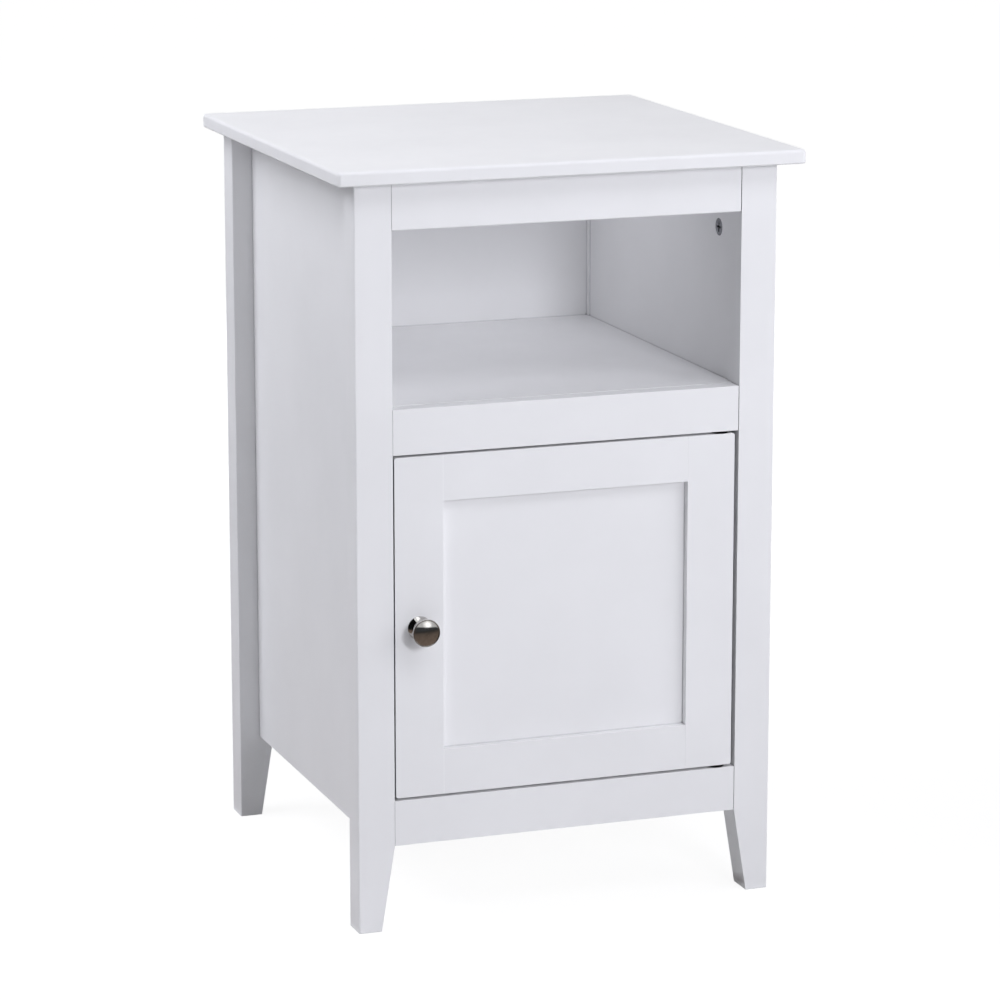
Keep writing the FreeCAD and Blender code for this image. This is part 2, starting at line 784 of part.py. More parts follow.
def cam_master():
    # A cam's barrel: its face at the origin, facing +Z, and its jaw open towards +X.
    body = new_body("cam_master")
    barrel = sketch_on(body, "cam_section", "XY_Plane", "-cam_depth")
    circles(barrel, [("0", "0")], "cam_radius")
    pad(body, "cam_barrel", barrel, "cam_depth")
    low = ("-bolt_head_length / 2 - bore_end_gap", "-bolt_room_radius")
    high = ("cam_radius + bore_end_gap", "bolt_room_radius")
    depth = "cam_depth - bolt_depth + bolt_room_radius"
    cut_box(body, "cam_jaw", "XY_Plane", "-cam_depth", low, high, depth, True)
    arm = "cam_drive_length / 2"
    half = "cam_drive_width / 2"
    quarter = [(arm, f"-{half}"), (arm, half), (half, half)]
    cross = []
    for _ in range(4):
        cross += quarter
        quarter = [(f"-({up})", across) for across, up in quarter]
    drive = sketch_on(body, "cam_drive_cross", "XY_Plane")
    outline(drive, cross)
    pocket(body, "cam_drive", drive, "cam_drive_depth")
    return body


def bolt_master():
    # A cam bolt along +Y from the cam's middle: its head, then the pin to the leg.
    end = "cam_distance + bolt_thread_length"
    profile = [
        ("0", "-bolt_head_length / 2"),
        ("bolt_head_radius", "-bolt_head_length / 2"),
        ("bolt_head_radius", "bolt_head_length / 2"),
        ("bolt_radius", "bolt_head_length / 2"),
        ("bolt_radius", end),
        ("0", end),
    ]
    return turned("bolt_master", profile)


def placed(shape, placement):
    copy = shape.copy()
    copy.Placement = placement.multiply(copy.Placement)
    return copy


def group(label, solids):
    # One node of equal pieces.
    node = doc.addObject("Part::Feature", label)
    node.Shape = Part.makeCompound(solids)
    node.Placement = FreeCAD.Placement()
    keep(node, label)


def both_sides(solids):
    origin = FreeCAD.Vector(0, 0, 0)
    return solids + [solid.mirror(origin, right) for solid in solids]


def cams_and_bolts():
    # A cam near each upper corner of a side panel, in the face towards the bay, pulls the
    # leg's bolt in through the panel's edge.
    cam = cam_master()
    bolt = bolt_master()
    doc.recompute()
    cams = []
    bolts = []
    edges = (("front + leg_depth + cam_distance", -back), ("rear - leg_depth - cam_distance", back))
    for deep, toward in edges:
        turned_in = FreeCAD.Rotation(toward, right.cross(toward), right, "ZXY")
        cam_place = FreeCAD.Placement(vector("-side_inner", deep, "cam_height"), turned_in)
        cams.append(placed(cam.Shape, cam_place))
        bolt_place = vector("-joint_line", deep, "cam_height")
        bolts.append(placed(bolt.Shape, FreeCAD.Placement(bolt_place, FreeCAD.Rotation(back, toward))))
    group("cam_locks", both_sides(cams))
    group("cam_bolts", both_sides(bolts))


def dowels():
    # Two along the upper edge of each side panel, into the top.
    radius = value("dowel_radius")
    length = value("dowel_length")
    foot = "underside + dowel_seat - dowel_length"
    feet = [vector("-joint_line", f"front + {depth}", foot) for depth in top_dowel_depths]
    group("dowels", both_sides([Part.makeCylinder(radius, length, foot) for foot in feet]))


def check_document():
    for item in doc.Objects:
        if "Invalid" in item.State or "Error" in item.State:
            raise RuntimeError(f"{item.Label} failed: {item.State}")
    for label, item in nodes.items():
        if item.Shape.isNull() or not item.Shape.isValid():
            raise RuntimeError(f"{label} has no valid shape")


fill_sheet()
top_panel()
leg("leg_front_left", 1, True)
leg("leg_front_right", -1, True)
leg("leg_rear_left", 1, False)
leg("leg_rear_right", -1, False)
side_panel_left()
side_panel_right()
for rail_label in rails:
    front_rail(rail_label)
for board_label in boards:
    level_board(board_label)
back_panel()
door_stile("door_stile_latch", 1)
door_stile("door_stile_hinge", -1)
door_rail("door_rail_top", True)
door_rail("door_rail_bottom", False)
door_panel()
knob()
knob_screw()
pivots()
catch_housing()
catch_magnet()
strike_plate()
cams_and_bolts()
dowels()
doc.recompute()
check_document()
os.makedirs("parts", exist_ok=True)
for node_label, node in nodes.items():
    node.Shape.exportStep(f"parts/{node_label}.step")
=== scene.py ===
import json
import math

import bmesh
import bpy
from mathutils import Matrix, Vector


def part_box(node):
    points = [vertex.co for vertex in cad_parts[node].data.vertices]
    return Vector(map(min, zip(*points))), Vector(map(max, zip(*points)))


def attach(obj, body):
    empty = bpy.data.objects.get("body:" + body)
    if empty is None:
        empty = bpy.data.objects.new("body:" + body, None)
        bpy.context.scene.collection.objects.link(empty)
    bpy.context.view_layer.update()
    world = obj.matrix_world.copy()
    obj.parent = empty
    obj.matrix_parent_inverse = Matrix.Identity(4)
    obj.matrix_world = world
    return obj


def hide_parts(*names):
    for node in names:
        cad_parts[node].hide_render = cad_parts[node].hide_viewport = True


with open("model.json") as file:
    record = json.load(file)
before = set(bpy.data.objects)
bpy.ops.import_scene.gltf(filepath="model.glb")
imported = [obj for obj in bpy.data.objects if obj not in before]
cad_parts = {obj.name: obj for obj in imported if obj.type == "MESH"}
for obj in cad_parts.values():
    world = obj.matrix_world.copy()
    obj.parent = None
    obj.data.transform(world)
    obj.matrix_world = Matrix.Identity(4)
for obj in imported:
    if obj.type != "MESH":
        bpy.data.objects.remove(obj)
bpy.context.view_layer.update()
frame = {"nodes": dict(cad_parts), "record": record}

cadNodes = frame["nodes"]
mm = 0.001
print("frame loaded:", len(cadNodes), "nodes")


def linear(hexText):  # sRGB hex to the linear colour a shader takes
    channels = [int(hexText[at:at + 2], 16) / 255 for at in (1, 3, 5)]
    return [c / 12.92 if c <= 0.04045 else ((c + 0.055) / 1.055) ** 2.4 for c in channels] + [1.0]


def addNode(tree, kind, settings=None, links=None):
    # a setting is a socket, by name or number, or a property of the node
    # a link may give a node in place of a socket, and then takes its first output
    # sockets 6 and 7 of a colour Mix are its two colours, and its output 2 is the mixed one
    node = tree.nodes.new("ShaderNode" + kind)
    for key, value in (settings or {}).items():
        if isinstance(key, int) or key in node.inputs:
            node.inputs[key].default_value = value
        else:
            setattr(node, key, value)
    for key, source in (links or {}).items():
        output = source.outputs[0] if isinstance(source, bpy.types.Node) else source
        tree.links.new(output, node.inputs[key])
    return node


def startMaterial(name, settings):
    material = bpy.data.materials.new(name)
    material.use_nodes = True
    tree = material.node_tree
    tree.nodes.clear()
    surface = addNode(tree, "BsdfPrincipled", settings)
    addNode(tree, "OutputMaterial", links={"Surface": surface})
    place = addNode(tree, "TexCoord").outputs["Object"]  # metres, as the parts lie in the table
    return material, tree, surface, place


noiseSpan = {"From Min": 0.3, "From Max": 0.7}  # most of a noise's values lie between these

lacquer = {
    "full": "#F1F1F2",
    "thin": "#EDEDEE",
    # painted highlight: the tone that the arrises are lightened towards
    "arrisHighlight": "#FFFFFF",
    "shadedJoints": "#808185",
    "cloudSize": 110,  # mm between fuller and thinner passes of the gun
    "hazeSize": 14,  # mm between glossier and duller patches
    "peelSize": 2.4,  # mm between ripples, drawn twice as coarse as real orange peel
    "peelDepth": 0.006,
    "roughness": (0.36, 0.46),
    "arrisWidth": 0.9,  # mm
    "arrisTurn": (0.98, 0.8),  # cosine of an arris's turn where the painted highlight begins and is full
    "jointReach": 2.5,  # mm from a joint or inner corner that its painted shade reaches
    "jointShut": (0.62, 0.2),  # how open a place is where the painted shade begins and is full
}
boardUnder = {"size": 0.8, "detail": 3, "stretch": (1, 1, 1), "depth": 0.004}  # mm, fine fibres
legUnder = {"size": 0.9, "detail": 4, "stretch": (1, 1, 45), "depth": 0.012}  # long grain, up the leg
sheetUnder = {"size": 1.3, "detail": 2, "stretch": (1, 1, 1), "depth": 0.015}  # felted hardboard


def sprayedLacquer(name, under):
    # Satin polyurethane, sprayed on sanded wood: a cool white with a soft broad sheen and faint
    # ripples, a painted highlight along the arrises, and painted grey shade in the joints and corners.
    look = lacquer
    material, tree, surface, place = startMaterial(name, {"IOR": 1.5})
    clouds = {"Scale": 1 / (look["cloudSize"] * mm), "Detail": 3}
    cloud = addNode(tree, "TexNoise", clouds, {"Vector": place})
    passes = addNode(tree, "MapRange", noiseSpan, {"Value": cloud})
    coats = {"data_type": "RGBA", 6: linear(look["full"]), 7: linear(look["thin"])}
    body = addNode(tree, "Mix", coats, {0: passes}).outputs[2]
    # painted highlight: the colour turns paler as the surface turns over an arris
    soft = addNode(tree, "Bevel", {"Radius": look["arrisWidth"] * mm, "samples": 4})
    own = addNode(tree, "NewGeometry").outputs["Normal"]
    facing = addNode(tree, "VectorMath", {"operation": "DOT_PRODUCT"}, {0: soft, 1: own}).outputs["Value"]
    begins, full = look["arrisTurn"]
    edge = addNode(tree, "MapRange", {"From Min": begins, "From Max": full}, {"Value": facing})
    # painted shade: joints and inner corners are greyed by how closed in they are
    around = {"Distance": look["jointReach"] * mm, "samples": 6}
    openness = addNode(tree, "AmbientOcclusion", around).outputs["AO"]
    begins, full = look["jointShut"]
    closed = addNode(tree, "MapRange", {"From Min": begins, "From Max": full}, {"Value": openness})
    pale = {"data_type": "RGBA", 7: linear(look["arrisHighlight"])}
    highlightedArrises = addNode(tree, "Mix", pale, {0: edge, 6: body}).outputs[2]
    grey = {"data_type": "RGBA", 7: linear(look["shadedJoints"])}
    shadedJoints = addNode(tree, "Mix", grey, {0: closed, 6: highlightedArrises}).outputs[2]
    tree.links.new(shadedJoints, surface.inputs["Base Color"])
    hazes = {"Scale": 1 / (look["hazeSize"] * mm), "Detail": 4}
    patches = addNode(tree, "TexNoise", hazes, {"Vector": place})
    low, high = look["roughness"]
    haze = addNode(tree, "MapRange", {**noiseSpan, "To Min": low, "To Max": high}, {"Value": patches})
    tree.links.new(haze.outputs[0], surface.inputs["Roughness"])
    peel = addNode(tree, "TexNoise", {"Scale": 1 / (look["peelSize"] * mm)}, {"Vector": place})
    ripple = addNode(tree, "Bump", {"Distance": look["peelDepth"] * mm}, {"Height": peel})
    drawn = [1 / (under["size"] * mm * part) for part in under["stretch"]]
    along = addNode(tree, "Mapping", {"Scale": drawn}, {"Vector": place})
    fibres = addNode(tree, "TexNoise", {"Scale": 1.0, "Detail": under["detail"]}, {"Vector": along})
    layers = {"Height": fibres, "Normal": ripple}
    relief = addNode(tree, "Bump", {"Distance": under["depth"] * mm}, layers)
    tree.links.new(relief.outputs[0], surface.inputs["Normal"])
    return material


nickelPlate = {
    "clean": "#D2D1D0",
    "fingered": "#BDBAB7",
    "smearSize": 5,  # mm, about a fingertip's ridge marks together
    "smearSpan": (0.35, 0.75),  # value of the noise where a smear begins and is full
    "buffSize": 0.9,  # mm between the lines of the buffing wheel, drawn coarser than real ones
    "buffStretch": 6,  # how many times longer they are along the knob than round it
    "buffDepth": 0.0006,
    "roughness": (0.07, 0.15),
}


def polishedNickel():
    # Nickel plate, buffed on a wheel: a warm grey mirror with faint buffing lines and smears.
    look = nickelPlate
    material, tree, surface, place = startMaterial("polishedNickelPlate", {"Metallic": 1.0})
    smears = {"Scale": 1 / (look["smearSize"] * mm), "Detail": 3}
    smear = addNode(tree, "TexNoise", smears, {"Vector": place})
    begins, full = look["smearSpan"]
    share = addNode(tree, "MapRange", {"From Min": begins, "From Max": full}, {"Value": smear})
    tones = {"data_type": "RGBA", 6: linear(look["clean"]), 7: linear(look["fingered"])}
    tone = addNode(tree, "Mix", tones, {0: share}).outputs[2]
    low, high = look["roughness"]
    dull = addNode(tree, "MapRange", {"To Min": low, "To Max": high}, {"Value": share})
    lines = 1 / (look["buffSize"] * mm)
    spread = (lines, lines / look["buffStretch"], lines)
    wheel = addNode(tree, "Mapping", {"Scale": spread}, {"Vector": place})
    buffing = addNode(tree, "TexNoise", {"Scale": 1.0}, {"Vector": wheel})
    relief = addNode(tree, "Bump", {"Distance": look["buffDepth"] * mm}, {"Height": buffing})
    tree.links.new(tone, surface.inputs["Base Color"])
    tree.links.new(dull.outputs[0], surface.inputs["Roughness"])
    tree.links.new(relief.outputs[0], surface.inputs["Normal"])
    return material


metalRecessShade = {
    "reach": 1.5,  # mm from a recess that the painted shade reaches
    "shut": (0.8, 0.35),  # how open a place is where the painted shade begins and is full
}
# each recess tone is painted shade, mixed in where a recess closes in
metals = {
    # cast in a steel die: dull grey, softly pitted, with painted shade in its recesses
    "dieCastZinc": {"light": "#97989D", "dark": "#515256", "recess": "#141516",
                    "roughness": (0.22, 0.38), "size": 2.2, "stretch": (1, 1, 1), "depth": 0.020},
    # cold-headed and barrel plated: pale and fairly bright, with fine tumbling marks
    "zincPlatedSteel": {"light": "#BDBFC4", "dark": "#A0A2A9", "recess": "#45464A",
                        "roughness": (0.25, 0.38), "size": 1.2, "stretch": (1, 6, 1), "depth": 0.004},
    # drawn through a die: bright, with lines along the rod
    "drawnSteelRod": {"light": "#C2C3C6", "dark": "#A7A8AC", "recess": "#4A4B4E",
                      "roughness": (0.20, 0.32), "size": 0.6, "stretch": (1, 1, 20), "depth": 0.003},
    # stamped from rolled sheet: an even grey with long rolling marks
    "stampedSteelSheet": {"light": "#A9AAAD", "dark": "#8F9094", "recess": "#414245",
                          "roughness": (0.30, 0.45), "size": 1.5, "stretch": (1, 1, 5), "depth": 0.004},
}


def workedMetal(name):
    # A metal whose tone and gloss follow the marks that its making left, with painted shade in its
    # recesses.
    look = metals[name]
    material, tree, surface, place = startMaterial(name, {"Metallic": 1.0})
    drawn = [1 / (look["size"] * mm * part) for part in look["stretch"]]
    along = addNode(tree, "Mapping", {"Scale": drawn}, {"Vector": place})
    marks = addNode(tree, "TexNoise", {"Scale": 1.0, "Detail": 4}, {"Vector": along})
    share = addNode(tree, "MapRange", noiseSpan, {"Value": marks})
    tones = {"data_type": "RGBA", 6: linear(look["light"]), 7: linear(look["dark"])}
    tone = addNode(tree, "Mix", tones, {0: share}).outputs[2]
    # painted shade: the tone darkens towards its recess colour where the surroundings close in
    around = {"Distance": metalRecessShade["reach"] * mm, "samples": 6}
    openness = addNode(tree, "AmbientOcclusion", around).outputs["AO"]
    begins, full = metalRecessShade["shut"]
    deep = addNode(tree, "MapRange", {"From Min": begins, "From Max": full}, {"Value": openness})
    recessShadeMix = {"data_type": "RGBA", 7: linear(look["recess"])}
    recessShaded = addNode(tree, "Mix", recessShadeMix, {0: deep, 6: tone}).outputs[2]
    low, high = look["roughness"]
    dull = addNode(tree, "MapRange", {"To Min": low, "To Max": high}, {"Value": share})
    relief = addNode(tree, "Bump", {"Distance": look["depth"] * mm}, {"Height": marks})
    tree.links.new(recessShaded, surface.inputs["Base Color"])
    tree.links.new(dull.outputs[0], surface.inputs["Roughness"])
    tree.links.new(relief.outputs[0], surface.inputs["Normal"])
    return material


plastics = {
    # nylon: black and waxy
    "mouldedNylon": {"light": "#0B0B0C", "dark": "#060607", "roughness": (0.6, 0.75),
                     "ior": 1.53, "gloss": 0.15},
    # ABS: white with a soft gloss
    "mouldedAbs": {"light": "#EFEFED", "dark": "#E7E7E4", "roughness": (0.3, 0.42),
                   "ior": 1.54, "gloss": 0.5},
}
mouldMarks = {
    "flow": (110, 110, 37),  # marks in a metre: 9 mm apart, and longer upwards
    "skinSize": 0.4,  # mm between the pits of the mould's skin
    "skinDepth": 0.012,
}


def mouldedPlastic(name):
    # Injection moulded: an even tone, the fine spark-eroded skin of the mould and a flow haze.
    look = plastics[name]
    settings = {"IOR": look["ior"], "Specular IOR Level": look["gloss"]}
    material, tree, surface, place = startMaterial(name, settings)
    stream = addNode(tree, "Mapping", {"Scale": mouldMarks["flow"]}, {"Vector": place})
    flow = addNode(tree, "TexNoise", {"Scale": 1.0}, {"Vector": stream})
    share = addNode(tree, "MapRange", noiseSpan, {"Value": flow})
    tones = {"data_type": "RGBA", 6: linear(look["light"]), 7: linear(look["dark"])}
    tone = addNode(tree, "Mix", tones, {0: share}).outputs[2]
    low, high = look["roughness"]
    dull = addNode(tree, "MapRange", {"To Min": low, "To Max": high}, {"Value": share})
    pits = {"Scale": 1 / (mouldMarks["skinSize"] * mm), "Detail": 3}
    skin = addNode(tree, "TexNoise", pits, {"Vector": place})
    relief = addNode(tree, "Bump", {"Distance": mouldMarks["skinDepth"] * mm}, {"Height": skin})
    tree.links.new(tone, surface.inputs["Base Color"])
    tree.links.new(dull.outputs[0], surface.inputs["Roughness"])
    tree.links.new(relief.outputs[0], surface.inputs["Normal"])
    return material


ferrite = {
    "dark": "#2B2B2E",
    "pale": "#39393C",
    "gritSize": 0.5,  # mm
    "gritDepth": 0.03,
    "roughness": (0.65, 0.9),
}


def sinteredFerrite():
    # Pressed and fired ceramic magnet: near-black, matt and gritty.
    look = ferrite
    material, tree, surface, place = startMaterial("sinteredFerrite", {"IOR": 1.6})
    grains = {"Scale": 1 / (look["gritSize"] * mm), "Detail": 5}
    grit = addNode(tree, "TexNoise", grains, {"Vector": place})
    share = addNode(tree, "MapRange", noiseSpan, {"Value": grit})
    tones = {"data_type": "RGBA", 6: linear(look["dark"]), 7: linear(look["pale"])}
    tone = addNode(tree, "Mix", tones, {0: share}).outputs[2]
    low, high = look["roughness"]
    dull = addNode(tree, "MapRange", {"To Min": low, "To Max": high}, {"Value": share})
    relief = addNode(tree, "Bump", {"Distance": look["gritDepth"] * mm}, {"Height": grit})
    tree.links.new(tone, surface.inputs["Base Color"])
    tree.links.new(dull.outputs[0], surface.inputs["Roughness"])
    tree.links.new(relief.outputs[0], surface.inputs["Normal"])
    return material


beech = {
    "fleck": "#B98E63",
    "wood": "#D9B88F",
    "grain": (1400, 1400, 100),  # marks in a metre: 0.7 by 10 mm
    "flecks": (2000, 2000, 500),  # 0.5 by 2 mm
    "fleckSpan": (0.15, 0.4),  # value of both noises together where a fleck ends and plain wood begins
    "grainDepth": 0.03,  # mm
    "roughness": (0.55, 0.7),
}


def turnedBeech():
    # Bare beech rod: pale pinkish wood with straight grain and short darker flecks.
    look = beech
    material, tree, surface, place = startMaterial("turnedBeech", {"IOR": 1.5})
    along = addNode(tree, "Mapping", {"Scale": look["grain"]}, {"Vector": place})
    grain = addNode(tree, "TexNoise", {"Scale": 1.0, "Detail": 4}, {"Vector": along})
    across = addNode(tree, "Mapping", {"Scale": look["flecks"]}, {"Vector": place})
    fleck = addNode(tree, "TexNoise", {"Scale": 1.0}, {"Vector": across})
    both = addNode(tree, "Math", {"operation": "MULTIPLY"}, {0: grain, 1: fleck})
    ends, begins = look["fleckSpan"]
    share = addNode(tree, "MapRange", {"From Min": ends, "From Max": begins}, {"Value": both})
    tones = {"data_type": "RGBA", 6: linear(look["fleck"]), 7: linear(look["wood"])}
    tone = addNode(tree, "Mix", tones, {0: share}).outputs[2]
    low, high = look["roughness"]
    dull = addNode(tree, "MapRange", {**noiseSpan, "To Min": low, "To Max": high}, {"Value": grain})
    relief = addNode(tree, "Bump", {"Distance": look["grainDepth"] * mm}, {"Height": grain})
    tree.links.new(tone, surface.inputs["Base Color"])
    tree.links.new(dull.outputs[0], surface.inputs["Roughness"])
    tree.links.new(relief.outputs[0], surface.inputs["Normal"])
    return material


platedSteel = workedMetal("zincPlatedSteel")
finishes = {
    "lacquered_board": sprayedLacquer("satinLacquerOnMdf", boardUnder),
    "lacquered_leg": sprayedLacquer("satinLacquerOnSolidWood", legUnder),
    "back_sheet": sprayedLacquer("satinLacquerOnHardboard", sheetUnder),
    "knob_nickel": polishedNickel(),
    "zinc_cam": workedMetal("dieCastZinc"),
    "steel_bolt": platedSteel,
    "beech_dowel": turnedBeech(),
    "steel_screw": platedSteel,
    "pin_steel": workedMetal("drawnSteelRod"),
    "black_nylon": mouldedPlastic("mouldedNylon"),
    "catch_plastic": mouldedPlastic("mouldedAbs"),
    "ferrite": sinteredFerrite(),
    "pole_steel": workedMetal("stampedSteelSheet"),
}
print("finishes ready:", len(finishes))

softArris = {  # mm taken off the arrises of each part, as sanding leaves them
    "leg_front_left": 0.6,
    "leg_front_right": 0.6,
    "leg_rear_left": 0.6,
    "leg_rear_right": 0.6,
    "side_panel_left": 0.6,
    "side_panel_right": 0.6,
    "top_front_rail": 1.1,
    "shelf_front_rail": 1.1,
    "bottom_front_rail": 1.1,
    "shelf_board": 0.3,
    "floor_board": 0.3,
    "back_panel": 0.2,
    "door_stile_latch": 0.7,
    "door_stile_hinge": 0.7,
    "door_rail_top": 0.7,
    "door_rail_bottom": 0.7,
    "door_panel": 0.3,
    "cam_locks": 0.4,
    "cam_bolts": 0.3,
    "dowels": 0.6,
    "pivot_pins": 0.5,
    "catch_housing": 0.6,
    "catch_magnet": 0.3,
    "catch_poles": 0.2,
}
jointGap = {  # mm that each face of these stands back, so that their joint lines show
    "top_front_rail": 0.4,
    "shelf_front_rail": 0.4,
    "bottom_front_rail": 0.4,
}


def softenArrises(part, width, gap):
    weld = part.modifiers.new("weld", "WELD")
    weld.merge_threshold = 1e-6
    flat = part.modifiers.new("flat", "DECIMATE")
    flat.decimate_type = "DISSOLVE"
    flat.angle_limit = math.radians(0.5)
    if gap:
        fit = part.modifiers.new("fit", "DISPLACE")
        fit.mid_level = 0
        # a box's corner has to move this far to bring each of its three faces in by the gap
        fit.strength = -gap * mm * math.sqrt(3)
    arris = part.modifiers.new("arris", "BEVEL")
    arris.width = width * mm
    arris.segments = 3
    arris.limit_method = "ANGLE"
    arris.angle_limit = math.radians(35)
    shade = part.modifiers.new("shade", "WEIGHTED_NORMAL")
    shade.keep_sharp = False


slotOf = {part["node"]: part["material_slot"] for part in frame["record"]["subparts"]}
for name, part in cadNodes.items():
    part.data.materials.clear()
    part.data.materials.append(finishes[slotOf[name]])
    if name in softArris:
        softenArrises(part, softArris[name], jointGap.get(name, 0))
print("parts finished:", len(softArris))


def newPiece(name, mesh, slotName, body, replaced, sharpest=30):
    mesh.set_sharp_from_angle(angle=math.radians(sharpest))
    piece = bpy.data.objects.new(name, mesh)
    bpy.context.scene.collection.objects.link(piece)
    mesh.materials.append(finishes[slotName])
    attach(piece, body)
    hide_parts(replaced)
    return piece


def meshFrom(name, shape):
    bmesh.ops.recalc_face_normals(shape, faces=shape.faces)
    for face in shape.faces:
        face.smooth = True
    mesh = bpy.data.meshes.new(name)
    shape.to_mesh(mesh)
    shape.free()
    return mesh


def turnedMesh(name, profile, centre, count):
    # rings of (radius, y) about a Y axis through centre; the ends are closed where the radius is 0
    shape = bmesh.new()
    rings = []
    turns = [2 * math.pi * at / count for at in range(count)]
    for radius, deep in profile:
        if radius == 0:
            rings.append([shape.verts.new(centre + Vector((0, deep, 0)))])
            continue
        ring = [Vector((radius * math.cos(turn), deep, radius * math.sin(turn))) for turn in turns]
        rings.append([shape.verts.new(centre + point) for point in ring])
    for first, second in zip(rings, rings[1:]):
        for at in range(count):
            following = (at + 1) % count
            corners = [first[at % len(first)], first[following % len(first)]]
            corners += [second[following % len(second)], second[at % len(second)]]
            shape.faces.new(list(dict.fromkeys(corners)))
    return meshFrom(name, shape)


def arc(centre, radius, start, end, steps):  # points on an arc, from start to end in degrees
    turns = [math.radians(start + (end - start) * at / steps) for at in range(steps + 1)]
    return [(centre[0] + radius * math.cos(turn), centre[1] + radius * math.sin(turn)) for turn in turns]


def prism(name, outline, low, high):  # an outline of (x, z) made solid from y = low to y = high
    shape = bmesh.new()
    near = [shape.verts.new((x, low, z)) for x, z in outline]
    far = [shape.verts.new((x, high, z)) for x, z in outline]
    shape.faces.new(near)
    shape.faces.new(far)
    for at in range(len(near)):
        following = (at + 1) % len(near)
        shape.faces.new((near[at], near[following], far[following], far[at]))
    return meshFrom(name, shape)


def carved(name, blank, tool):  # the blank with the tool cut out of it
    items = [bpy.data.objects.new(name + str(at), mesh) for at, mesh in enumerate((blank, tool))]
    for item in items:
        bpy.context.scene.collection.objects.link(item)
    cut = items[0].modifiers.new("cut", "BOOLEAN")
    cut.operation = "DIFFERENCE"
    cut.solver = "EXACT"
    cut.object = items[1]
    bpy.context.view_layer.update()
    finished = items[0].evaluated_get(bpy.context.evaluated_depsgraph_get())
    result = bpy.data.meshes.new_from_object(finished)
    for item in items:
        bpy.data.objects.remove(item)
    result.name = name
    return result


crossDrive = {  # mm, a cross recess for a number 2 driver
    "arm": 2.2,
    "width": 1.1,
    "depth": 1.5,
    "clear": 1,  # how far its tool stands out of the screw
}


def withCrossDrive(name, blank, centre, face):  # face is the y of the screw's outer face
    arm, half = crossDrive["arm"] * mm, crossDrive["width"] * mm / 2
    quarter = [(arm, -half), (arm, half), (half, half)]
    outline = []
    for _ in range(4):
        outline += [(centre.x + x, centre.z + z) for x, z in quarter]
        quarter = [(-z, x) for x, z in quarter]
    foot, top = face - crossDrive["depth"] * mm, face + crossDrive["clear"] * mm
    tool = prism(name + "Tool", outline, foot, top)
    return carved(name, blank, tool)


knobShape = {  # mm, depths are from the door's face towards the room
    "reach": 20.9,
    "headRadius": 11.8,
    "headBack": 17.3,  # depth at which the head's side begins
    "domeRadius": 10.8,
    "domeRise": 2.0,
    "domeSteps": 18,
    "grooveDepth": 0.2,
    "grooveWidth": 0.1,
    "rimRadius": 0.5,  # of the bead round the face
    "rimStart": 165,  # degrees round the bead at which it leaves the groove
    "rimSteps": 14,
    "rimRaise": 0.12,  # of the bead's middle over the groove's floor
    "sideHeight": 0.3,  # of the straight band behind the bead
    "neck": [(10.2, 0.0), (10.2, 0.3), (10.05, 0.5), (8.6, 2.3), (7.5, 3.7), (6.95, 4.5), (6.8, 5.4),
             (6.95, 7.0), (7.4, 9.0), (8.1, 11.0), (8.95, 13.0), (9.85, 14.8), (10.8, 16.3),
             (11.6, 17.3)],  # radius and depth from the foot up the hollow neck to the head
    "count": 128,
}


def knobProfile(look):
    rise, span = look["domeRise"], look["domeRadius"]
    ball = (span ** 2 + rise ** 2) / (2 * rise)
    tilt = math.degrees(math.asin(span / ball))
    dome = arc((0, look["reach"] - ball), ball, 90, 90 - tilt, look["domeSteps"])
    dome[0] = (0, look["reach"])
    low = dome[-1][1] - look["grooveDepth"]
    rim, head = look["rimRadius"], look["headRadius"]
    points = dome + [(span + look["grooveWidth"], low)]
    bead = (head - rim, low + look["rimRaise"])
    points += arc(bead, rim, look["rimStart"], 0, look["rimSteps"])
    points += [(head, look["headBack"] + look["sideHeight"])]
    points += list(reversed(look["neck"])) + [(0, 0.0)]
    return [(radius * mm, -depth * mm) for radius, depth in points]


low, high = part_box("knob")
knobCentre = Vector(((low.x + high.x) / 2, high.y, (low.z + high.z) / 2))
knobMesh = turnedMesh("knob", knobProfile(knobShape), knobCentre, knobShape["count"])
newPiece("knob_turned", knobMesh, "knob_nickel", "door", "knob", 25)
print("knob turned:", len(knobMesh.polygons), "faces")

knobScrew = {  # mm, radius and height above the door's back
    "head": [(0, 2.2), (1.2, 2.16), (2.2, 2.0), (3.0, 1.7), (3.6, 1.25), (3.92, 0.7), (4.0, 0.25),
             (3.9, 0.0)],
    "shank": 2.0,
    "point": 0.6,
    "count": 48,
}
low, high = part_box("knob_screw")
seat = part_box("door_stile_latch")[1].y
screwCentre = Vector(((low.x + high.x) / 2, seat, (low.z + high.z) / 2))
tip = low.y - seat
screwProfile = [(radius * mm, height * mm) for radius, height in knobScrew["head"]]
screwProfile += [(knobScrew["shank"] * mm, 0), (knobScrew["shank"] * mm, tip + knobScrew["point"] * mm)]
screwProfile += [((knobScrew["shank"] - knobScrew["point"]) * mm, tip), (0, tip)]
screwBlank = turnedMesh("knobScrewBlank", screwProfile, screwCentre, knobScrew["count"])
screwMesh = withCrossDrive("knobScrew", screwBlank, screwCentre, high.y)
newPiece("knob_screw_headed", screwMesh, "steel_screw", "door", "knob_screw")

